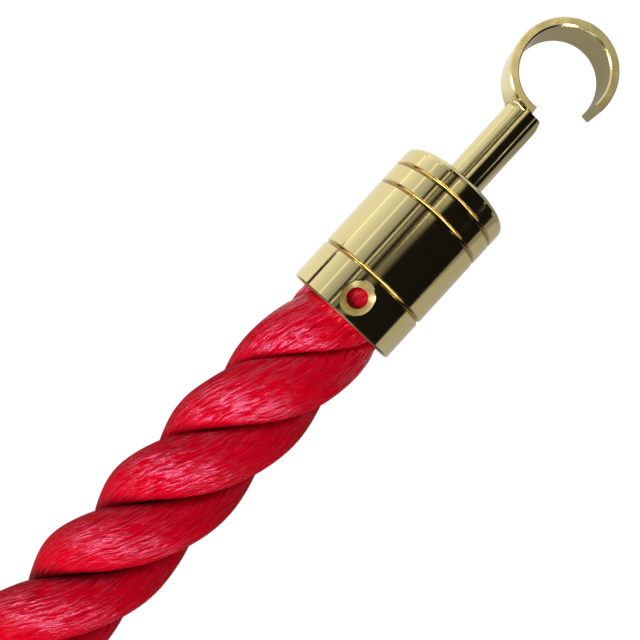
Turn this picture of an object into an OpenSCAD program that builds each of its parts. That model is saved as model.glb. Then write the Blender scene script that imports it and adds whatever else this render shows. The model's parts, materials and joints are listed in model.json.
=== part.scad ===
// Barrier rope, laid up as a flat two-run hank with both end fittings side by side.
// Each end has a turned brass cup that grips the rope, a shank that swivels in the cup's
// end wall, and an open hook rolled from flat strip. Millimetres, +Z up, floor at z = 0.

/* [Rope] */
// Diameter over the strands
rope_d = 32; // [24:0.5:36]
// Length between the two cup mouths
rope_length = 1500; // [1000:25:2500]
// Distance between the two runs of the hank at the fittings
run_spacing = 190; // [150:5:240]
// Length of rope end held inside each cup
tail_length = 31; // [24:0.5:34]
// Length of the binding around each rope end
binding_length = 10; // [6:0.5:14]

/* [Cup] */
// Outside diameter of the cup
cup_d = 33.5; // [28:0.5:40]
// Length of the cup
cup_length = 46.5; // [38:0.5:60]
// Thickness of the cup wall
cup_wall = 3.25; // [2.5:0.25:4.5]
// Thickness of the closed end
end_wall = 6; // [5:0.5:9]
// Rounding of the closed end's edge
end_round = 2; // [0.5:0.25:3]
// Width of each decorative groove
groove_width = 1.3; // [0.8:0.1:1.8]
// Depth of each decorative groove
groove_depth = 0.5; // [0.2:0.1:0.8]

/* [Screw] */
// Diameter of the screw holes
screw_hole_d = 5.5; // [4:0.25:6.5]
// Diameter of the countersinks
countersink_d = 9.6; // [7.5:0.1:10.5]
// Distance of the screw holes from the mouth
screw_inset = 6; // [5.5:0.1:12]
// Length of the fixing screw
screw_length = 13; // [9:0.5:14]

/* [Hook] */
// Diameter of the shank
shank_d = 10.8; // [8:0.2:12]
// Shank length between the cup and the hook
shank_length = 27; // [20:0.5:45]
// Inside diameter of the hook
hook_bore_d = 24; // [20:0.5:32]
// Thickness of the hook strip
strip_thickness = 2.5; // [2:0.1:4]
// Width of the hook strip
strip_width = 10; // [7:0.25:12]
// Angle of the hook's opening
throat_angle = 79; // [60:1:100]

/* [Swivel] */
// Diameter of the spigot that turns in the closed end
spigot_d = 8; // [6:0.25:9]
// Radial running clearance of the spigot and of the shank's foot
swivel_clearance = 0.05; // [0.02:0.01:0.1]
// Play along the shank
end_play = 0.3; // [0.3:0.05:0.6]
// Thickness of the washer
washer_thickness = 1.6; // [1.2:0.1:2.2]
// Width of the nut across its flats
nut_flats = 13; // [11:0.5:14]
// Thickness of the nut
nut_thickness = 4; // [3:0.25:5]

/* [Hidden] */

$fn = 64;
brass = [0.85, 0.76, 0.45];
steel = [0.72, 0.73, 0.75];
red = [0.72, 0.02, 0.06];
dark_red = [0.45, 0.02, 0.04];

// Distances along each fitting are measured from the cup's mouth.
cup_r = cup_d / 2;
bore_r = cup_r - cup_wall;
bore_depth = cup_length - end_wall;
hook_r = hook_bore_d / 2 + strip_thickness;
hook_at = cup_length + shank_length + hook_r;
fitting_length = hook_at + hook_r;
mouth_x = -fitting_length / 2;
shank_r = shank_d / 2;
spigot_r = spigot_d / 2;
foot_depth = 1.5;
thread_past_nut = 0.8;
washer_at = bore_depth - end_play - washer_thickness;
nut_at = washer_at - nut_thickness;
thread_at = nut_at - thread_past_nut;
tail_r = bore_r - 0.15;
binding_t = 0.6;
mouth_chamfer = 0.4;
// The grooves sit at these shares of the cup's length
groove_shares = [0.273, 0.736, 0.871];
// The hook's opening starts just past the shank, on the -Y side
throat_from = 185;

screw_r = screw_hole_d / 2 - 0.25;
head_sink = 0.4;
screw_head_r = countersink_d / 2 - head_sink;
countersink_depth = (countersink_d - screw_hole_d) / 2;
screw_top = cup_r - head_sink;
slot_width = 1.2;
slot_depth = 1;
tip_length = 3;

// ---- Rope route ----
// Each row: distance from the mouth, offset towards the other run, lift off the floor
// (1 at the cup's axis, 0 lying on the floor), and how far it has filled out from the
// squeezed end (0) to the full rope (1).
start_rows = [[0, 0, 1, 0], [12, 0.3, 0.95, 0.65], [30, 0.8, 0.75, 0.9],
  [60, 1.4, 0.3, 1], [90, 2.1, 0.05, 1], [120, 3.1, 0, 1]];
// Each row: share of the run's length, offset towards the other run
run_rows = [[0.3, 5.5], [0.4, 8.5], [0.5, 10.5], [0.6, 10.5], [0.7, 8.5],
  [0.8, 5.5], [0.9, 2]];
bend_r = run_spacing / 2 + 1.5;
bend_lead = 3.5;
bend_steps = 14;
bend_arc = bend_r * PI * (180 + 2 * bend_lead) / 180;
run_length = (rope_length - bend_arc) / 2 - 0.75;
rope_r = rope_d / 2;
tube_sides = 12;

function lift_z(lift) = rope_r + lift * (cup_r - rope_r);
function run_point(along, inward, lift) =
  [mouth_x - along, inward - run_spacing / 2, lift_z(lift)];
function bend_point(a) =
  [mouth_x - run_length - bend_r * (sin(a) + sin(bend_lead)), -bend_r * cos(a), rope_r];
function other_run(p) = [p[0], -p[1], p[2]];

first_half = concat(
  [for (row = start_rows) run_point(row[0], row[1], row[2])],
  [for (row = run_rows) run_point(row[0] * run_length, row[1], 0)]);
bend = [for (i = [0 : bend_steps])
  bend_point(-bend_lead + i * (180 + 2 * bend_lead) / bend_steps)];
half_count = len(first_half);
second_half = [for (i = [half_count - 1 : -1 : 0]) other_run(first_half[i])];
route = concat(first_half, bend, second_half);
route_count = len(route);

function share(i) = i < len(start_rows) ? start_rows[i][3] : 1;
function ring_r(i) =
  tail_r + (rope_r - tail_r) * min(share(i), share(route_count - 1 - i));
function unit(v) = v / norm(v);
function heading(i) =
  i == 0 || i == route_count - 1
    ? [i == 0 ? -1 : 1, 0, 0]
    : unit(unit(route[i + 1] - route[i]) + unit(route[i] - route[i - 1]));
function across(t) = unit([-t[1], t[0], 0]);
function ring_point(i, a) =
  route[i] + ring_r(i) * (cos(a) * across(heading(i))
    + sin(a) * cross(heading(i), across(heading(i))));

module tube() {
  points = [for (i = [0 : route_count - 1], j = [0 : tube_sides - 1])
    ring_point(i, j * 360 / tube_sides)];
  walls = [for (i = [0 : route_count - 2], j = [0 : tube_sides - 1])
    [i * tube_sides + j, (i + 1) * tube_sides + j,
     (i + 1) * tube_sides + (j + 1) % tube_sides, i * tube_sides + (j + 1) % tube_sides]];
  last = (route_count - 1) * tube_sides;
  start_cap = [for (j = [0 : tube_sides - 1]) j];
  end_cap = [for (j = [0 : tube_sides - 1]) last + tube_sides - 1 - j];
  polyhedron(points, concat(walls, [start_cap, end_cap]), convexity = 4);
}

module rope() {
  color(red) tube();
}

// ---- Fitting parts, drawn along +X from the mouth at x = 0 on the axis ----
module place(side) {
  translate([mouth_x, side * run_spacing / 2, cup_r]) children();
}

// Turns a profile of [radius, distance from the mouth] about the fitting's axis
module turned(profile) {
  rotate([0, 90, 0]) rotate_extrude() polygon(profile);
}

module rod(r, from, to) {
  translate([from, 0, 0]) rotate([0, 90, 0]) cylinder(h = to - from, r = r);
}

module cup() {
  round_steps = 4;
  rounded = [for (i = [0 : round_steps]) [
    cup_r - end_round + end_round * cos(i * 90 / round_steps),
    cup_length - end_round + end_round * sin(i * 90 / round_steps)]];
  difference() {
    turned(concat(
      [[bore_r + mouth_chamfer, 0], [cup_r - mouth_chamfer, 0], [cup_r, mouth_chamfer]],
      rounded,
      [[shank_r + swivel_clearance, cup_length],
       [shank_r + swivel_clearance, cup_length - foot_depth],
       [spigot_r + swivel_clearance, cup_length - foot_depth],
       [spigot_r + swivel_clearance, bore_depth],
       [bore_r, bore_depth], [bore_r, mouth_chamfer]]));
    for (share = groove_shares) groove(share * cup_length);
    for (way = [0, 180]) rotate([way, 0, 0]) screw_hole();
  }
}

// A round-bottomed groove, cut as if by a round-nosed tool
module groove(at) {
  half = groove_width / 2;
  nose_r = (half * half + groove_depth * groove_depth) / (2 * groove_depth);
  translate([at, 0, 0]) rotate([0, 90, 0]) rotate_extrude()
    translate([cup_r + nose_r - groove_depth, 0]) circle(r = nose_r);
}

module screw_hole() {
  translate([screw_inset, 0, bore_r - 1])
    cylinder(h = cup_wall + 2, r = screw_hole_d / 2);
  translate([screw_inset, 0, cup_r - countersink_depth])
    cylinder(h = countersink_depth, r1 = screw_hole_d / 2, r2 = countersink_d / 2);
}

module rope_tail() {
  neck = tail_length - binding_length;
  difference() {
    turned([[0, 0], [tail_r, 0], [tail_r, neck], [tail_r - binding_t, neck],
      [tail_r - binding_t, tail_length - 1], [tail_r - binding_t - 1, tail_length],
      [0, tail_length]]);
    translate([screw_inset, 0, -cup_r])
      cylinder(h = cup_r + screw_length - screw_top + 0.5, r = screw_r);
  }
}

module end_binding() {
  neck = tail_length - binding_length;
  turned([[tail_r - binding_t, neck], [tail_r, neck],
    [tail_r, tail_length - 1.4], [tail_r - binding_t, tail_length - 1.4]]);
}

module fixing_screw() {
  head_h = screw_head_r - screw_r;
  translate([screw_inset, 0, 0]) rotate([180, 0, 0]) difference() {
    union() {
      translate([0, 0, screw_top - head_h])
        cylinder(h = head_h, r1 = screw_r, r2 = screw_head_r);
      translate([0, 0, screw_top - screw_length + tip_length])
        cylinder(h = screw_length - tip_length - head_h, r = screw_r);
      translate([0, 0, screw_top - screw_length])
        cylinder(h = tip_length, r1 = 0.4, r2 = screw_r);
    }
    translate([-screw_head_r, -slot_width / 2, screw_top - slot_depth])
      cube([2 * screw_head_r, slot_width, slot_depth + 1]);
  }
}

module hook_shank() {
  foot = cup_length - foot_depth + end_play;
  shank_end = hook_at - hook_r * 0.9;
  difference() {
    union() {
      rod(shank_r, foot, shank_end);
      rod(spigot_r, thread_at, foot);
    }
    translate([hook_at, 0, -shank_d]) cylinder(h = 2 * shank_d, r = hook_r);
    translate([hook_at - hook_r - 1, -shank_r + 0.2, 0]) rotate([0, 0, 26])
      translate([-shank_d, -shank_d, -shank_d]) cube([2 * shank_d, shank_d, 2 * shank_d]);
  }
}

module hook_ring() {
  edge = 0.4;
  half = strip_width / 2;
  inner = hook_bore_d / 2;
  translate([hook_at, 0, 0])
    rotate_extrude(angle = 360 - throat_angle, start = throat_from + throat_angle)
    polygon([[inner, -half + edge], [inner + edge, -half], [hook_r - edge, -half],
      [hook_r, -half + edge], [hook_r, half - edge], [hook_r - edge, half],
      [inner + edge, half], [inner, half - edge]]);
}

module swivel_washer() {
  difference() {
    rod(spigot_d, washer_at, washer_at + washer_thickness);
    rod(spigot_r, washer_at - 1, washer_at + washer_thickness + 1);
  }
}

module swivel_nut() {
  difference() {
    translate([nut_at, 0, 0]) rotate([0, 90, 0])
      cylinder(h = nut_thickness, r = nut_flats / 2 / cos(30), $fn = 6);
    rod(spigot_r, nut_at - 1, nut_at + nut_thickness + 1);
  }
}

// ---- Parts in place ----
module cup_near() { color(brass) place(-1) cup(); }
module rope_tail_near() { color(red) place(-1) rope_tail(); }
module end_binding_near() { color(dark_red) place(-1) end_binding(); }
module fixing_screw_near() { color(steel) place(-1) fixing_screw(); }
module hook_shank_near() { color(brass) place(-1) hook_shank(); }
module hook_ring_near() { color(brass) place(-1) hook_ring(); }
module swivel_washer_near() { color(steel) place(-1) swivel_washer(); }
module swivel_nut_near() { color(steel) place(-1) swivel_nut(); }

module cup_far() { color(brass) place(1) cup(); }
module rope_tail_far() { color(red) place(1) rope_tail(); }
module end_binding_far() { color(dark_red) place(1) end_binding(); }
module fixing_screw_far() { color(steel) place(1) fixing_screw(); }
module hook_shank_far() { color(brass) place(1) hook_shank(); }
module hook_ring_far() { color(brass) place(1) hook_ring(); }
module swivel_washer_far() { color(steel) place(1) swivel_washer(); }
module swivel_nut_far() { color(steel) place(1) swivel_nut(); }

rope();
cup_near();
rope_tail_near();
end_binding_near();
fixing_screw_near();
hook_shank_near();
hook_ring_near();
swivel_washer_near();
swivel_nut_near();
cup_far();
rope_tail_far();
end_binding_far();
fixing_screw_far();
hook_shank_far();
hook_ring_far();
swivel_washer_far();
swivel_nut_far();
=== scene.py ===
"""A thick laid barrier rope with turned brass end cups and swivelling open hooks, laid up as a two-run hank.

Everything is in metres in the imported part's own frame: +X runs from the rope to the hooks,
+Y from the near fitting to the far one, +Z up, and the floor is z = 0.
"""

import json
import math

import bpy
import numpy as np
from mathutils import Euler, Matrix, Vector

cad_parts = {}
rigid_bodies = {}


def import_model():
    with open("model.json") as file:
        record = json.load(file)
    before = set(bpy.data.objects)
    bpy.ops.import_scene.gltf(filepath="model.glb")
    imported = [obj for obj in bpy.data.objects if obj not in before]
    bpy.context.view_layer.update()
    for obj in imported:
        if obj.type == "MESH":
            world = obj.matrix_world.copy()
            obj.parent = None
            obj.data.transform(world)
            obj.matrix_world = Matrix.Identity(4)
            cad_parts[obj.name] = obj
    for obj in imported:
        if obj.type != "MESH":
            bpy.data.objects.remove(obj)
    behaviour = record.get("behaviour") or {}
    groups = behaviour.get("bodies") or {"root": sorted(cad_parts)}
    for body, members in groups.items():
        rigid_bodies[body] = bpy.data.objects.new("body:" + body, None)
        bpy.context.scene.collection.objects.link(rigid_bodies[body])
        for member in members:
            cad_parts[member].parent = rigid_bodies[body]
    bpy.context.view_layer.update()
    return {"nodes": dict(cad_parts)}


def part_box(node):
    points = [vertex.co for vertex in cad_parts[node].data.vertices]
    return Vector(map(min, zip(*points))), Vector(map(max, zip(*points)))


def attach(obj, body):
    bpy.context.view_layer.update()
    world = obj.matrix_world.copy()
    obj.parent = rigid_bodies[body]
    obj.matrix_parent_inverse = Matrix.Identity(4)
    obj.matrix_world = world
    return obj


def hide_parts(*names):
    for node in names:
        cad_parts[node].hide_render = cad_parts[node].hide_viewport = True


for leftover in list(bpy.data.objects):
    bpy.data.objects.remove(leftover)
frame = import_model()
scene = bpy.context.scene

# ---------------------------------------------------------------- sizes from the part
CUP_LOW, CUP_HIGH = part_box("cup_near")
MOUTH_X = CUP_LOW.x
CUP_R = CUP_HIGH.z / 2
SIDE_Y = {"near": -0.095, "far": 0.095}

ROPE_D = 0.032
ROPE_R = ROPE_D / 2
ROPE_LENGTH = 1.5  # from mouth to mouth
LAY_LENGTH = 0.0787  # along the rope for one full turn of a strand
STRANDS = 3


# ---------------------------------------------------------------- camera
SENSOR_WIDTH = 36.0
LENS = 37.48
CAMERA_AT = (-0.05528, -0.0943, 0.1981)
CAMERA_TURN = (0.495, 0.711, -47.57)  # degrees


def add_camera():
    data = bpy.data.cameras.new("camera")
    data.sensor_width = SENSOR_WIDTH
    data.lens = LENS
    data.clip_start = 0.01
    camera = bpy.data.objects.new("camera", data)
    camera.location = CAMERA_AT
    camera.rotation_euler = Euler([math.radians(a) for a in CAMERA_TURN])
    scene.collection.objects.link(camera)
    scene.camera = camera


add_camera()


# ---------------------------------------------------------------- the rope's route
# The same route points as the part's tube, in millimetres. Each row: distance from the mouth,
# offset towards the other run, lift off the floor (1 at the cup's axis, 0 on the floor).
START_ROWS = [(0, 0, 1), (12, 0.3, 0.95), (30, 0.8, 0.75), (60, 1.4, 0.3), (90, 2.1, 0.05), (120, 3.1, 0)]
# Each row: share of the run's length, offset towards the other run.
RUN_ROWS = [(0.3, 5.5), (0.4, 8.5), (0.5, 10.5), (0.6, 10.5), (0.7, 8.5), (0.8, 5.5), (0.9, 2)]
RUN_SPACING = 190.0
BEND_R = RUN_SPACING / 2 + 1.5
BEND_LEAD = 3.5  # degrees that the bend reaches past a half turn at each end
BEND_STEPS = 14
SLACK = 0.75  # what the wandering runs take up of the rope's length, each
TAIL_INSIDE = 0.029  # metres of rope inside each cup


def route_points():
    """The route's points in metres, from the near cup's mouth round to the far one's."""
    mouth, rope_r, cup_r = MOUTH_X * 1000, ROPE_R * 1000, CUP_R * 1000
    arc = BEND_R * math.pi * (180 + 2 * BEND_LEAD) / 180
    run = (ROPE_LENGTH * 1000 - arc) / 2 - SLACK
    half = [(mouth - along, inward - RUN_SPACING / 2, rope_r + lift * (cup_r - rope_r))
            for along, inward, lift in START_ROWS]
    half += [(mouth - share * run, inward - RUN_SPACING / 2, rope_r) for share, inward in RUN_ROWS]
    bend = []
    for i in range(BEND_STEPS + 1):
        a = math.radians(-BEND_LEAD + i * (180 + 2 * BEND_LEAD) / BEND_STEPS)
        x = mouth - run - BEND_R * (math.sin(a) + math.sin(math.radians(BEND_LEAD)))
        bend.append((x, -BEND_R * math.cos(a), rope_r))
    back = [(x, -y, z) for x, y, z in reversed(half)]
    return np.array(half + bend + back) / 1000


def smooth_line(points, step):
    """A smooth curve through the points, as closely spaced points."""
    at = np.concatenate([[0], np.cumsum(np.linalg.norm(np.diff(points, axis=0), axis=1))])
    slope = np.diff(points, axis=0) / np.diff(at)[:, None]
    gap = np.diff(at)
    tangent = np.empty_like(points)
    weighed = slope[:-1] * gap[1:, None] + slope[1:] * gap[:-1, None]
    tangent[1:-1] = weighed / (gap[1:] + gap[:-1])[:, None]
    tangent[0], tangent[-1] = (-1, 0, 0), (1, 0, 0)
    fine = np.linspace(0, at[-1], int(at[-1] / step) + 1)
    i = np.clip(np.searchsorted(at, fine, side="right") - 1, 0, len(at) - 2)
    h = gap[i][:, None]
    t = ((fine - at[i]) / gap[i])[:, None]
    return ((2 * t**3 - 3 * t**2 + 1) * points[i] + (t**3 - 2 * t**2 + t) * h * tangent[i]
            + (3 * t**2 - 2 * t**3) * points[i + 1] + (t**3 - t**2) * h * tangent[i + 1])


def rope_line():
    """The rope's whole middle line with its ends inside the cups, and how far along each
    point lies from the near mouth."""
    free = smooth_line(route_points(), 0.001)
    steps = np.linspace(TAIL_INSIDE, 0, 30)[:-1]
    into = np.array([(1, 0, 0)])
    line = np.concatenate([free[0] + steps[:, None] * into, free, free[-1] + steps[::-1, None] * into])
    along = np.concatenate([[0], np.cumsum(np.linalg.norm(np.diff(line, axis=0), axis=1))]) - TAIL_INSIDE
    return line, along


# ---------------------------------------------------------------- the laid rope
YARNS = 50
POINTS_PER_YARN = 4
LOOPS = YARNS * POINTS_PER_YARN
YARN_TWIST = 76.0  # radians a metre, against the strands' own lay
FIRST_PHASE = 0.512
YARN_HEIGHT = 0.00008
BUNDLE_HEIGHT = 0.00014
SLOW_SWELL = 0.012  # share of a strand's radius
PATTERN_R = 0.0097  # radius the yarn pattern is laid out on
PATTERN_GAP = 0.05  # between the patterns of two strands
YARN_SEED, SWELL_SEED = 11, 40
PAGES = 4  # columns that each strand's skin is cut into for baking


def crest_radius(from_mouth):
    """The radius over the strands, squeezed in the cup and full a little way out."""
    stations = np.array([-0.03, -0.018, -0.016, -0.001, 0.0, 0.003, 0.008, 0.02, 0.06, 0.1, 0.14])
    radii = np.array([12.55, 12.6, 13.25, 13.3, 13.4, 14.2, 14.6, 15.0, 15.6, 15.95, 16.0]) / 1000
    return np.interp(from_mouth, stations, radii)


def strand_offset(from_mouth, crest):
    """How far each strand's middle lies from the rope's middle."""
    share = 0.41 - 0.19 * np.exp(-np.maximum(from_mouth, 0) / 0.045)
    return crest * share


def strand_reach(angle, middle, radius):
    """How far a strand's skin is from its own middle: round outside, flat against the
    two strands beside it, with soft corners in the grooves."""
    a = np.abs((angle + np.pi) % (2 * np.pi) - np.pi)
    third = math.pi / 3
    wall = np.where(a > third + 0.02, middle * math.sin(third) / np.maximum(np.sin(a - third), 1e-3), 1.0)
    sharp = 7.0
    return (radius**-sharp + wall**-sharp) ** (-1 / sharp)


def slow_wave(at, seed, wavelengths=(0.09, 0.041, 0.023)):
    """A gentle irregular wave along the rope, about -1 to 1."""
    rng = np.random.default_rng(seed)
    return sum(np.sin(2 * np.pi * at / w + rng.uniform(0, 6.28)) for w in wavelengths) / len(wavelengths)


def yarn_heights(stations, turn, rng):
    """How far each yarn stands proud along one strand: every yarn swells and dips by
    itself, and neighbours lie in loose bundles."""
    across = np.array([0.0, 0.75, 1.0, 0.75])
    tall = rng.uniform(0.4, 1.2, YARNS)
    wave = rng.uniform(0.012, 0.030, YARNS)
    start = rng.uniform(0, 6.28, YARNS)
    swell = 0.55 + 0.45 * np.sin(2 * np.pi * stations[:, None] / wave[None, :] + start[None, :])
    yarn = (tall[None, :] * swell)[:, :, None] * across[None, None, :]
    yarn = yarn.reshape(len(stations), -1)
    bundle = np.zeros_like(yarn)
    for around in (4, 6, 9, 13, 17):
        drift = 2 * np.pi / rng.uniform(0.02, 0.05)
        bundle += np.cos(around * turn[None, :] + drift * stations[:, None] + rng.uniform(0, 6.28)) / 5
    return YARN_HEIGHT * (yarn - 0.45) + BUNDLE_HEIGHT * bundle


def skin_stations(total):
    """How far along the rope each ring of its skin lies, closer together near the cups."""
    close, coarse = 0.0015, 0.003
    stations = np.concatenate([
        np.arange(-TAIL_INSIDE, 0.15, close), np.arange(0.15, total - 0.05, coarse),
        np.arange(total - 0.05, total + TAIL_INSIDE, close)])
    return np.unique(np.round(np.append(stations, total + TAIL_INSIDE), 6))


def line_at(line, along, at):
    return np.stack([np.interp(at, along, line[:, k]) for k in range(3)], axis=1)


def line_directions(line, along, stations):
    """The line's middle points with the directions aside and down from it."""
    reach = 0.004
    heading = line_at(line, along, stations + reach) - line_at(line, along, stations - reach)
    heading /= np.linalg.norm(heading, axis=1)[:, None]
    aside = np.stack([heading[:, 1], -heading[:, 0], np.zeros(len(heading))], axis=1)
    aside /= np.linalg.norm(aside, axis=1)[:, None]
    return line_at(line, along, stations), aside, np.cross(heading, aside)


def strand_skin(strand, stations, from_mouth, directions):
    """One strand's skin points, each one's place in the yarn pattern, and how deep it lies
    in the grooves between the strands, which the rope's material uses for painted shade."""
    middle, aside, down = directions
    crest = crest_radius(from_mouth)
    offset = strand_offset(from_mouth, crest)
    turn = 2 * np.pi * np.arange(LOOPS) / LOOPS
    free = np.clip((from_mouth + 0.001) / 0.004, 0, 1)[:, None]
    phase = FIRST_PHASE + 2 * np.pi * (stations / LAY_LENGTH + strand / STRANDS)
    height = yarn_heights(stations, turn, np.random.default_rng(YARN_SEED + strand))
    angle = turn[None, :] - YARN_TWIST * stations[:, None]
    swell = SLOW_SWELL * slow_wave(stations, SWELL_SEED + strand)[:, None] * free
    radius = np.broadcast_to((crest - offset)[:, None] * (1 + swell), angle.shape)
    reach = strand_reach(angle, np.broadcast_to(offset[:, None], angle.shape), radius)
    reach = reach + free * height
    side = offset[:, None] + reach * np.cos(angle)
    over = reach * np.sin(angle)
    c, s = np.cos(phase)[:, None], np.sin(phase)[:, None]
    u, v = side * c - over * s, side * s + over * c
    xyz = middle[:, None, :] + u[..., None] * aside[:, None, :] + v[..., None] * down[:, None, :]
    shape = (len(stations), LOOPS)
    pattern = np.stack([np.broadcast_to(np.cos(turn) * PATTERN_R + PATTERN_GAP * strand, shape),
                        np.broadcast_to(np.sin(turn) * PATTERN_R, shape),
                        np.broadcast_to(stations[:, None], shape)], axis=2)
    out = np.abs((angle + np.pi) % (2 * np.pi) - np.pi)
    # painted shade: how deep each point lies in the grooves, which darkens the yarn's colour there
    groove = np.clip((out - 1.25) / 0.45, 0, 1)
    return xyz.reshape(-1, 3), pattern.reshape(-1, 3), groove.reshape(-1)


def strand_faces(strand, stations):
    """The four-sided faces of one strand's skin, and each corner's place on the bake picture."""
    count = len(stations)
    i, j = np.meshgrid(np.arange(count - 1), np.arange(LOOPS), indexing="ij")
    nxt = (j + 1) % LOOPS
    part = stations + TAIL_INSIDE
    part = part / part[-1] * PAGES
    page = np.clip(np.floor((part[:-1] + part[1:]) / 2), 0, PAGES - 1)
    base = strand * count * LOOPS
    quads = np.stack([base + i * LOOPS + j, base + i * LOOPS + nxt,
                      base + (i + 1) * LOOPS + nxt, base + (i + 1) * LOOPS + j], axis=2)
    column = (strand * PAGES + page)[i]
    wide = 1 / (STRANDS * PAGES)
    u0 = (column + 0.04 + 0.92 * j / LOOPS) * wide
    u1 = (column + 0.04 + 0.92 * (j + 1) / LOOPS) * wide
    v0 = np.clip((part[:-1] - page)[i], 0, 1) * 0.985 + 0.005
    v1 = np.clip((part[1:] - page)[i], 0, 1) * 0.985 + 0.005
    corners = np.stack([u0, v0, u1, v0, u1, v1, u0, v1], axis=2)
    return quads.reshape(-1, 4), corners.reshape(-1, 4, 2)


def strand_caps(verts, count):
    """A middle point and a fan of faces for each end of each strand."""
    points, faces = [], []
    for strand in range(STRANDS):
        for end in (0, count - 1):
            first = strand * count * LOOPS + end * LOOPS
            ring = np.arange(first, first + LOOPS)
            at = len(verts) + len(points)
            points.append(verts[ring].mean(axis=0))
            a, b = (np.roll(ring, -1), ring) if end == 0 else (ring, np.roll(ring, -1))
            faces.append(np.stack([a, b, np.full(LOOPS, at)], axis=1))
    return np.array(points), np.concatenate(faces)


def rope_mesh(verts, quads, corners, caps):
    mesh = bpy.data.meshes.new("rope_laid")
    mesh.vertices.add(len(verts))
    mesh.vertices.foreach_set("co", verts.astype(np.float32).reshape(-1))
    mesh.loops.add(len(quads) * 4 + len(caps) * 3)
    order = np.concatenate([quads.reshape(-1), caps.reshape(-1)])
    mesh.loops.foreach_set("vertex_index", order.astype(np.int32))
    sizes = np.concatenate([np.full(len(quads), 4), np.full(len(caps), 3)])
    mesh.polygons.add(len(sizes))
    starts = np.concatenate([[0], np.cumsum(sizes)[:-1]])
    mesh.polygons.foreach_set("loop_start", starts.astype(np.int32))
    mesh.update(calc_edges=True)
    mesh.polygons.foreach_set("use_smooth", sizes == 4)
    uv = mesh.uv_layers.new(name="OFBake")
    cap_corners = np.tile([0.001, 0.001, 0.002, 0.001, 0.001, 0.002], len(caps))
    flat = np.concatenate([corners.reshape(-1), cap_corners])
    uv.data.foreach_set("uv", flat.astype(np.float32))
    return mesh


def build_rope():
    line, along = rope_line()
    total = along[-1] - TAIL_INSIDE
    stations = skin_stations(total)
    directions = line_directions(line, along, stations)
    from_mouth = np.minimum(stations, total - stations)
    skins = [strand_skin(strand, stations, from_mouth, directions) for strand in range(STRANDS)]
    points, pattern, groove = (np.concatenate(kind) for kind in zip(*skins))
    faces = [strand_faces(strand, stations) for strand in range(STRANDS)]
    quads, corners = (np.concatenate(kind) for kind in zip(*faces))
    cap_points, caps = strand_caps(points, len(stations))
    mesh = rope_mesh(np.concatenate([points, cap_points]), quads, corners, caps)

    pattern = np.concatenate([pattern, np.zeros((len(cap_points), 3))]).astype(np.float32)
    mesh.attributes.new("yarn", "FLOAT_VECTOR", "POINT").data.foreach_set("vector", pattern.reshape(-1))
    groove = np.concatenate([groove, np.zeros(len(cap_points))]).astype(np.float32)
    mesh.attributes.new("groove", "FLOAT", "POINT").data.foreach_set("value", groove)
    rope = bpy.data.objects.new("rope_laid", mesh)
    scene.collection.objects.link(rope)
    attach(rope, "rope_and_cups")
    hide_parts("rope", "rope_tail_near", "rope_tail_far")
    return rope


rope = build_rope()


# ---------------------------------------------------------------- brazed joints
BEAD_R = 0.0010
BEAD_LIFT = 0.0001  # how far the bead's middle stands off the shank's skin
BEAD_STEPS, BEAD_SIDES = 48, 12


def build_braze(end):
    """The brazing metal where the shank's end is joined to the outside of the hook."""
    shank_low, shank_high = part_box(f"hook_shank_{end}")
    shank_r = (shank_high.z - shank_low.z) / 2
    ring_low, ring_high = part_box(f"hook_ring_{end}")
    ring_x = ring_high.x - (ring_high.y - ring_low.y) / 2
    ring_r = (ring_high.y - ring_low.y) / 2
    half_width = (ring_high.z - ring_low.z) / 2
    rng = np.random.default_rng(5)
    lumps = [(k, rng.uniform(0, 6.28)) for k in (3, 5, 8)]
    bead_half = half_width - 0.0003
    n = BEAD_SIDES
    verts = []
    for i in range(BEAD_STEPS + 1):
        share = i / BEAD_STEPS
        a = math.radians(-100 + 200 * share)
        y = (shank_r + BEAD_LIFT) * math.cos(a)
        z = max(-bead_half, min(bead_half, (shank_r + BEAD_LIFT) * math.sin(a)))
        x = ring_x - math.sqrt(ring_r**2 - y**2) - 0.00025
        taper = min(1, 6 * share + 0.15, 6 * (1 - share) + 0.15)
        lump = 1 + 0.10 * sum(math.sin(k * a + p) for k, p in lumps)
        radius = BEAD_R * taper * lump
        for j in range(n):
            b = 2 * math.pi * j / n
            out = radius * math.cos(b)
            verts.append((x + radius * math.sin(b), SIDE_Y[end] + y + out * math.cos(a),
                          CUP_R + z + out * math.sin(a)))
    faces = [(i * n + j, i * n + (j + 1) % n, (i + 1) * n + (j + 1) % n, (i + 1) * n + j)
             for i in range(BEAD_STEPS) for j in range(n)]
    faces += [tuple(range(n))[::-1], tuple(BEAD_STEPS * n + j for j in range(n))]
    mesh = bpy.data.meshes.new(f"braze_{end}")
    mesh.from_pydata(verts, [], faces)
    for face in mesh.polygons:
        face.use_smooth = len(face.vertices) == 4
    braze = bpy.data.objects.new(f"braze_{end}", mesh)
    scene.collection.objects.link(braze)
    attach(braze, f"hook_{end}")
    return braze


brazes = [build_braze(end) for end in ("near", "far")]


# ---------------------------------------------------------------- material helpers
def new_material(name):
    material = bpy.data.materials.new(name)
    material.use_nodes = True
    tree = material.node_tree
    tree.nodes.clear()
    output = tree.nodes.new("ShaderNodeOutputMaterial")
    shader = tree.nodes.new("ShaderNodeBsdfPrincipled")
    tree.links.new(shader.outputs["BSDF"], output.inputs["Surface"])
    return material, tree, shader


def node(tree, kind, inputs=None, **settings):
    made = tree.nodes.new(kind)
    for key, value in settings.items():
        setattr(made, key, value)
    for key, value in (inputs or {}).items():
        if isinstance(value, bpy.types.NodeSocket):
            tree.links.new(value, made.inputs[key])
        else:
            made.inputs[key].default_value = value
    return made


def stretched(tree, source, scale):
    return node(tree, "ShaderNodeMapping", {"Vector": source, "Scale": scale}).outputs["Vector"]


def noise(tree, vector, scale, detail=2.0, rough=0.5):
    return node(tree, "ShaderNodeTexNoise", {"Vector": vector, "Scale": scale, "Detail": detail,
                                             "Roughness": rough}).outputs["Fac"]


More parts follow.
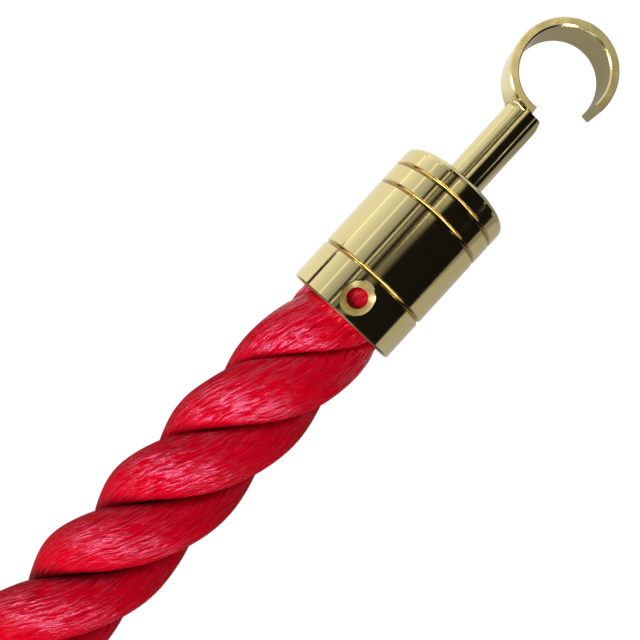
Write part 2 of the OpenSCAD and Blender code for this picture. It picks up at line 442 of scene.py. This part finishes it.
def remap(tree, value, low, high, to_low, to_high):
    return node(tree, "ShaderNodeMapRange", {"Value": value, "From Min": low, "From Max": high,
                                             "To Min": to_low, "To Max": to_high}).outputs["Result"]


def maths(tree, kind, a, b):
    return node(tree, "ShaderNodeMath", {0: a, 1: b}, operation=kind).outputs[0]


def vector_sum(tree, kind, a, b):
    return node(tree, "ShaderNodeVectorMath", {0: a, 1: b}, operation=kind).outputs[0]


def ramp_mix(tree, factor, first, second):
    mix = node(tree, "ShaderNodeMix", data_type="RGBA")
    for key, value in (("Factor", factor), ("A", first), ("B", second)):
        socket = next(s for s in mix.inputs if s.name == key and (key == "Factor" or s.type == "RGBA")
                      and s.enabled)
        if isinstance(value, bpy.types.NodeSocket):
            tree.links.new(value, socket)
        else:
            socket.default_value = value
    return next(s for s in mix.outputs if s.type == "RGBA" and s.enabled)


# ---------------------------------------------------------------- rope yarn
YARN_DARK = (0.27, 0.0, 0.004, 1)
YARN_LIGHT = (0.45, 0.0, 0.010, 1)
# painted shade in the thin gaps between the yarns
YARN_GAP_SHADE = (0.15, 0.0, 0.003, 1)
# painted shade deep in the grooves between the strands
YARN_GROOVE_SHADE = (0.06, 0.0, 0.001, 1)
YARN_SHINE = (1.0, 0.36, 0.70, 1)


def rope_material():
    """Glossy red filaments: fine ones make the colour, threads break up the shine; painted shade darkens the
    strands' grooves and the yarns' gaps.
    """
    material, tree, shader = new_material("red_laid_yarn")
    yarn = node(tree, "ShaderNodeAttribute", attribute_name="yarn").outputs["Vector"]
    groove = node(tree, "ShaderNodeAttribute", attribute_name="groove").outputs["Fac"]
    waver = node(tree, "ShaderNodeTexNoise", {"Vector": yarn, "Scale": 240.0, "Detail": 1.0})
    shift = vector_sum(tree, "SUBTRACT", waver.outputs["Color"], (0.5, 0.5, 0.5))
    shift = node(tree, "ShaderNodeVectorMath", {0: shift, "Scale": 0.0012}, operation="SCALE").outputs[0]
    place = vector_sum(tree, "ADD", yarn, shift)
    filament = noise(tree, stretched(tree, place, (1.0, 1.0, 0.08)), 3400, 2.0, 0.6)
    thread = noise(tree, stretched(tree, place, (1.0, 1.0, 0.15)), 1500, 2.0, 0.55)
    # painted shade: thin dark lines along the yarns where the gaps between them are
    yarn_gap_shade = noise(tree, stretched(tree, place, (1.0, 1.0, 0.07)), 1500, 1.0, 0.5)
    skin = ramp_mix(tree, remap(tree, filament, 0.3, 0.7, 0.0, 1.0), YARN_DARK, YARN_LIGHT)
    skin = ramp_mix(tree, remap(tree, yarn_gap_shade, 0.29, 0.38, 0.6, 0.0), skin, YARN_GAP_SHADE)
    # painted shade: the yarn's colour darkens towards the bottom of the grooves between the strands
    shade = ramp_mix(tree, remap(tree, groove, 0.0, 1.0, 0.0, 0.9), skin, YARN_GROOVE_SHADE)
    tree.links.new(shade, shader.inputs["Base Color"])
    tree.links.new(remap(tree, filament, 0.3, 0.7, 0.30, 0.18), shader.inputs["Roughness"])
    tree.links.new(remap(tree, thread, 0.44, 0.60, 0.01, 0.68), shader.inputs["Specular IOR Level"])
    height = maths(tree, "ADD", maths(tree, "MULTIPLY", filament, 0.35), thread)
    bump = node(tree, "ShaderNodeBump", {"Height": height, "Strength": 1.0, "Distance": 0.0005})
    tree.links.new(bump.outputs["Normal"], shader.inputs["Normal"])
    shader.inputs["Specular Tint"].default_value = YARN_SHINE
    shader.inputs["IOR"].default_value = 1.6
    return material


# ---------------------------------------------------------------- metals
def polish_group():
    """Fine polishing lines and faint smears as masks, and the normal of a skin that is
    finely lined and very slightly wavy."""
    group = bpy.data.node_groups.new("polish_lines", "ShaderNodeTree")
    for name, way, kind in (
            ("Lines Vector", "INPUT", "Vector"), ("Wave Vector", "INPUT", "Vector"),
            ("Fineness", "INPUT", "Float"), ("Depth", "INPUT", "Float"), ("Wave", "INPUT", "Float"),
            ("Lines", "OUTPUT", "Float"), ("Smear", "OUTPUT", "Float"), ("Normal", "OUTPUT", "Vector")):
        group.interface.new_socket(name, in_out=way, socket_type="NodeSocket" + kind)
    start = group.nodes.new("NodeGroupInput").outputs
    end = group.nodes.new("NodeGroupOutput")
    lines = noise(group, start["Lines Vector"], start["Fineness"], 4.0, 0.65)
    smear = noise(group, start["Wave Vector"], 60.0, 3.0, 0.55)
    wave = noise(group, start["Wave Vector"], 110.0, 1.0, 0.4)
    waved = node(group, "ShaderNodeBump", {"Height": wave, "Strength": start["Wave"], "Distance": 0.002})
    lined = node(group, "ShaderNodeBump", {"Height": lines, "Strength": start["Depth"],
                                           "Distance": 0.0001, "Normal": waved.outputs["Normal"]})
    group.links.new(lines, end.inputs["Lines"])
    group.links.new(smear, end.inputs["Smear"])
    group.links.new(lined.outputs["Normal"], end.inputs["Normal"])
    return group


POLISH = polish_group()


EVEN = (1.0, 1.0, 1.0)


def metal(name, colour, stain, rough, lines_along, fineness=2200.0, depth=0.12, wave_along=EVEN, wave=0.0):
    """A polished metal with fine lines drawn out along one way and a faint stain."""
    material, tree, shader = new_material(name)
    place = node(tree, "ShaderNodeTexCoord").outputs["Object"]
    group = node(tree, "ShaderNodeGroup", node_tree=POLISH)
    tree.links.new(stretched(tree, place, lines_along), group.inputs["Lines Vector"])
    tree.links.new(stretched(tree, place, wave_along), group.inputs["Wave Vector"])
    group.inputs["Fineness"].default_value = fineness
    group.inputs["Depth"].default_value = depth
    group.inputs["Wave"].default_value = wave
    tint = ramp_mix(tree, remap(tree, group.outputs["Smear"], 0.35, 0.75, 0.0, 0.6), colour, stain)
    tree.links.new(tint, shader.inputs["Base Color"])
    tree.links.new(remap(tree, group.outputs["Lines"], 0.3, 0.7, rough * 0.7, rough * 1.4),
                   shader.inputs["Roughness"])
    tree.links.new(group.outputs["Normal"], shader.inputs["Normal"])
    shader.inputs["Metallic"].default_value = 1.0
    return material


HOLES_END_X = MOUTH_X + 0.0115
GROOVES_END_X = CUP_HIGH.x - 0.0024
GROOVE_TARNISH = (0.40, 0.25, 0.08, 1)


def finish_recesses(material, radius, depth, tarnish, cut_rough):
    """Finishes what lies further in than the turned surface: the grooves are tarnished,
    where polish doesn't reach, and the countersinks keep a duller, freshly cut face."""
    tree = material.node_tree
    shader = next(n for n in tree.nodes if n.type == "BSDF_PRINCIPLED")
    place = node(tree, "ShaderNodeSeparateXYZ", {
        "Vector": node(tree, "ShaderNodeTexCoord").outputs["Object"]}).outputs
    y = maths(tree, "SUBTRACT", maths(tree, "ABSOLUTE", place["Y"], 0.0), SIDE_Y["far"])
    z = maths(tree, "SUBTRACT", place["Z"], CUP_R)
    out = node(tree, "ShaderNodeVectorMath", {
        0: node(tree, "ShaderNodeCombineXYZ", {"X": y, "Y": z}).outputs["Vector"]},
        operation="LENGTH").outputs["Value"]
    inner = remap(tree, out, radius - depth, radius, 1.0, 0.0)
    past_holes = maths(tree, "GREATER_THAN", place["X"], HOLES_END_X)
    before_end = maths(tree, "LESS_THAN", place["X"], GROOVES_END_X)
    by_holes = maths(tree, "SUBTRACT", cut_rough, maths(tree, "MULTIPLY", past_holes, cut_rough))
    cut = maths(tree, "MULTIPLY", inner, by_holes)
    rough = shader.inputs["Roughness"].links[0].from_socket
    tree.links.new(maths(tree, "ADD", rough, cut), shader.inputs["Roughness"])
    inner = maths(tree, "MULTIPLY", inner, maths(tree, "MULTIPLY", past_holes, before_end))
    bright = shader.inputs["Base Color"].links[0].from_socket
    tree.links.new(ramp_mix(tree, inner, bright, tarnish), shader.inputs["Base Color"])


def binding_material():
    material, tree, shader = new_material("binding_tape")
    place = node(tree, "ShaderNodeTexCoord").outputs["Object"]
    weave = noise(tree, stretched(tree, place, (1.0, 0.3, 0.3)), 1500, 2.0)
    tree.links.new(ramp_mix(tree, weave, (0.16, 0.003, 0.008, 1), (0.34, 0.006, 0.016, 1)),
                   shader.inputs["Base Color"])
    bump = node(tree, "ShaderNodeBump", {"Height": weave, "Strength": 0.6, "Distance": 0.0002})
    tree.links.new(bump.outputs["Normal"], shader.inputs["Normal"])
    shader.inputs["Roughness"].default_value = 0.8
    return material


rope.data.materials.append(rope_material())
BRASS = (0.82, 0.71, 0.35, 1)
BRASS_STAIN = (0.70, 0.54, 0.24, 1)
turned_brass = metal("turned_brass", BRASS, BRASS_STAIN, 0.09, (1.0, 0.03, 0.03), 3000.0, 0.14,
                     (0.15, 1.0, 1.0), 0.012)
finish_recesses(turned_brass, CUP_R - 0.00012, 0.0003, GROOVE_TARNISH, 0.25)
drawn_brass = metal("drawn_brass", BRASS, BRASS_STAIN, 0.10, (0.05, 1.0, 1.0), 2200.0, 0.10,
                    (0.2, 1.0, 1.0), 0.05)
rolled_brass = metal("rolled_brass_strip", BRASS, BRASS_STAIN, 0.17, (0.15, 0.15, 1.0), 1800.0, 0.25,
                     EVEN, 0.10)
plated_steel = metal("plated_steel", (0.62, 0.63, 0.65, 1), (0.45, 0.46, 0.48, 1), 0.28, EVEN)
binding = binding_material()
braze_brass = metal("braze_brass", (0.74, 0.60, 0.27, 1), (0.40, 0.28, 0.12, 1), 0.20, EVEN, 1400.0, 0.30,
                    EVEN, 0.25)
for braze in brazes:
    braze.data.materials.append(braze_brass)


def give(name, material):
    mesh = frame["nodes"][name].data
    mesh.materials.clear()
    mesh.materials.append(material)


FINISHES = {
    "cup": turned_brass, "hook_shank": drawn_brass, "hook_ring": rolled_brass,
    "swivel_washer": plated_steel, "swivel_nut": plated_steel, "fixing_screw": plated_steel,
    "end_binding": binding,
}
for end in ("near", "far"):
    for piece, finish in FINISHES.items():
        give(f"{piece}_{end}", finish)


# ---------------------------------------------------------------- studio
FLOOR_HALF = 6.0
FLOOR_DROP = 0.0003
WHITE_SEEN = 1.1  # brightness at which the floor and the backdrop show plain white
FLOOR_SHARE = 0.9  # how much of that white covers the floor's own shading


def add_floor():
    """A white floor. What mirrors it sees a painted glow: bright by the fittings on the window's side, and
    dimmer elsewhere, with painted shade by the hooks' rings and on the rope's side of the cups."""
    mesh = bpy.data.meshes.new("floor")
    low, high = -FLOOR_HALF, FLOOR_HALF
    mesh.from_pydata([(low, low, 0), (high, low, 0), (high, high, 0), (low, high, 0)], [], [(0, 1, 2, 3)])
    floor = bpy.data.objects.new("floor", mesh)
    scene.collection.objects.link(floor)
    floor.location.z = -FLOOR_DROP
    material, tree, shader = new_material("pale_floor")
    shader.inputs["Base Color"].default_value = (0.6, 0.6, 0.6, 1)
    shader.inputs["Roughness"].default_value = 0.9
    shader.inputs["Specular IOR Level"].default_value = 0.0
    place = node(tree, "ShaderNodeTexCoord").outputs["Object"]
    spot = node(tree, "ShaderNodeSeparateXYZ", {"Vector": place}).outputs
    # painted light and shade in the floor's glow, seen only in reflections: bright on the window's side,
    # dimmer beyond, dimmer still by the hooks' rings, nearly dark on the rope's side of the mouths
    dim = remap(tree, spot["X"], 0.015, 0.025, 0.49, 0.30)
    side = remap(tree, spot["Y"], -0.088, -0.080, dim, 0.95)
    painted_glow = maths(tree, "MULTIPLY", side, remap(tree, spot["X"], -0.068, -0.056, 0.12, 1.0))
    mirrored = node(tree, "ShaderNodeEmission", {"Strength": painted_glow})
    plain = node(tree, "ShaderNodeEmission", {"Strength": WHITE_SEEN})
    rays = node(tree, "ShaderNodeLightPath").outputs
    seen = maths(tree, "MULTIPLY", rays["Is Camera Ray"], FLOOR_SHARE)
    mix = node(tree, "ShaderNodeMixShader", {"Fac": seen, 1: shader.outputs["BSDF"],
                                             2: plain.outputs["Emission"]})
    mix = node(tree, "ShaderNodeMixShader", {"Fac": rays["Is Glossy Ray"], 1: mix.outputs["Shader"],
                                             2: mirrored.outputs["Emission"]})
    output = next(n for n in tree.nodes if n.type == "OUTPUT_MATERIAL")
    tree.links.new(mix.outputs["Shader"], output.inputs["Surface"])
    mesh.materials.append(material)


def add_panel(name, location, target, size, brightness, mirrored=True, edge=0.02, far_share=1.0,
              tint=(1.0, 1.0, 1.0)):
    """A soft panel of that brightness, which is what a mirror shows of it, fading out over the
    edge share of its height, and down to far_share at its upper edge. One that isn't mirrored
    lights the object and leaves no reflection."""
    data = bpy.data.lights.new(name, "AREA")
    data.shape = "RECTANGLE"
    data.size, data.size_y = size
    data.energy = brightness * math.pi * size[0] * size[1]
    data.color = tint
    data.use_nodes = True
    tree = data.node_tree
    up = node(tree, "ShaderNodeSeparateXYZ", {
        "Vector": node(tree, "ShaderNodeNewGeometry").outputs["Parametric"]}).outputs["Y"]
    from_edge = maths(tree, "MINIMUM", up, maths(tree, "SUBTRACT", 1.0, up))
    fade = node(tree, "ShaderNodeMapRange", {"Value": from_edge, "From Min": 0.0, "From Max": edge},
                interpolation_type="SMOOTHSTEP").outputs["Result"]
    slope = remap(tree, up, 0.0, 1.0, 1.0, far_share)
    tree.links.new(maths(tree, "MULTIPLY", fade, slope), tree.nodes["Emission"].inputs["Strength"])
    lamp = bpy.data.objects.new(name, data)
    lamp.location = location
    lamp.rotation_euler = (Vector(target) - Vector(location)).to_track_quat("-Z", "Y").to_euler()
    lamp.visible_glossy = mirrored
    lamp.visible_camera = False
    scene.collection.objects.link(lamp)


def add_overhead(name, off_zenith, towards_y, distance, size, brightness, x=-0.05, **look):
    """A panel lying along the fittings, that many degrees off straight up from them, to the
    +Y side (1) or the -Y side (-1)."""
    a = math.radians(off_zenith)
    y, z = SIDE_Y["near"], 0.02
    place = (x, y + towards_y * distance * math.sin(a), z + distance * math.cos(a))
    add_panel(name, place, (x, y, z), size, brightness, **look)


def add_world(level):
    """A dark room around the panels, with a plain white backdrop."""
    world = bpy.data.worlds.new("studio")
    world.use_nodes = True
    tree = world.node_tree
    seen = node(tree, "ShaderNodeLightPath").outputs["Is Camera Ray"]
    background = tree.nodes["Background"]
    background.inputs["Color"].default_value = (1, 1, 1, 1)
    tree.links.new(remap(tree, seen, 0.0, 1.0, level, WHITE_SEEN), background.inputs["Strength"])
    scene.world = world


# The far fitting isn't mirrored, so that the near one shows only the studio.
for piece in scene.objects:
    if piece.type == "MESH" and piece.name.endswith("_far"):
        piece.visible_glossy = False
WARM = (1.0, 0.95, 0.78)
ROPE_MIDDLE = (-0.1, -0.09, 0.02)
add_floor()
add_world(0.008)
add_overhead("side_window", 65.5, 1, 1.1, (2.6, 1.25), 1.12, edge=0.003, far_share=0.30)
add_overhead("window_bar", 58, 1, 1.0, (2.0, 0.10), 0.55, edge=0.5)
add_overhead("upper_bar", 29, 1, 1.0, (1.6, 0.11), 0.85, edge=0.5, tint=WARM)
add_overhead("upper_band", 21.5, 1, 1.05, (1.6, 0.15), 0.17, edge=0.2, tint=WARM)
add_overhead("upper_line", 23, 1, 0.8, (0.55, 0.012), 0.8, x=0.26, edge=0.4)
add_overhead("thin_line", 6.3, 1, 0.8, (0.44, 0.018), 2.0, x=0.33, edge=0.4)
add_overhead("dim_top", 3, 1, 1.15, (1.6, 0.54), 0.17, edge=0.45, tint=WARM)
add_overhead("hook_card", 2, 1, 1.0, (0.6, 0.46), 0.46, x=0.53, edge=0.3, tint=WARM)
add_overhead("shank_line", 61, -1, 1.0, (0.34, 0.12), 1.1, x=0.50, edge=0.5)
add_panel("rope_light", (-0.74, -0.09, 0.92), ROPE_MIDDLE, (2.6, 0.28), 34.0, edge=0.5)
add_panel("rope_light_window_side", (-0.65, 0.77, 0.28), ROPE_MIDDLE, (0.32, 0.8), 3.5, edge=0.3)
add_panel("rope_light_near_side", (-0.60, -0.95, 0.42), ROPE_MIDDLE, (0.30, 0.6), 3.5, edge=0.3)
add_panel("rope_end_card", (-1.9, -0.09, 0.25), ROPE_MIDDLE, (1.6, 0.5), 0.5, edge=0.2)
add_panel("hook_end_card", (1.2, -0.09, 0.22), ROPE_MIDDLE, (1.6, 0.44), 0.7, edge=0.2)
add_panel("fill", (-0.1, 0.0, 1.3), ROPE_MIDDLE, (1.4, 1.4), 0.12, mirrored=False)
scene.view_settings.view_transform = "Standard"
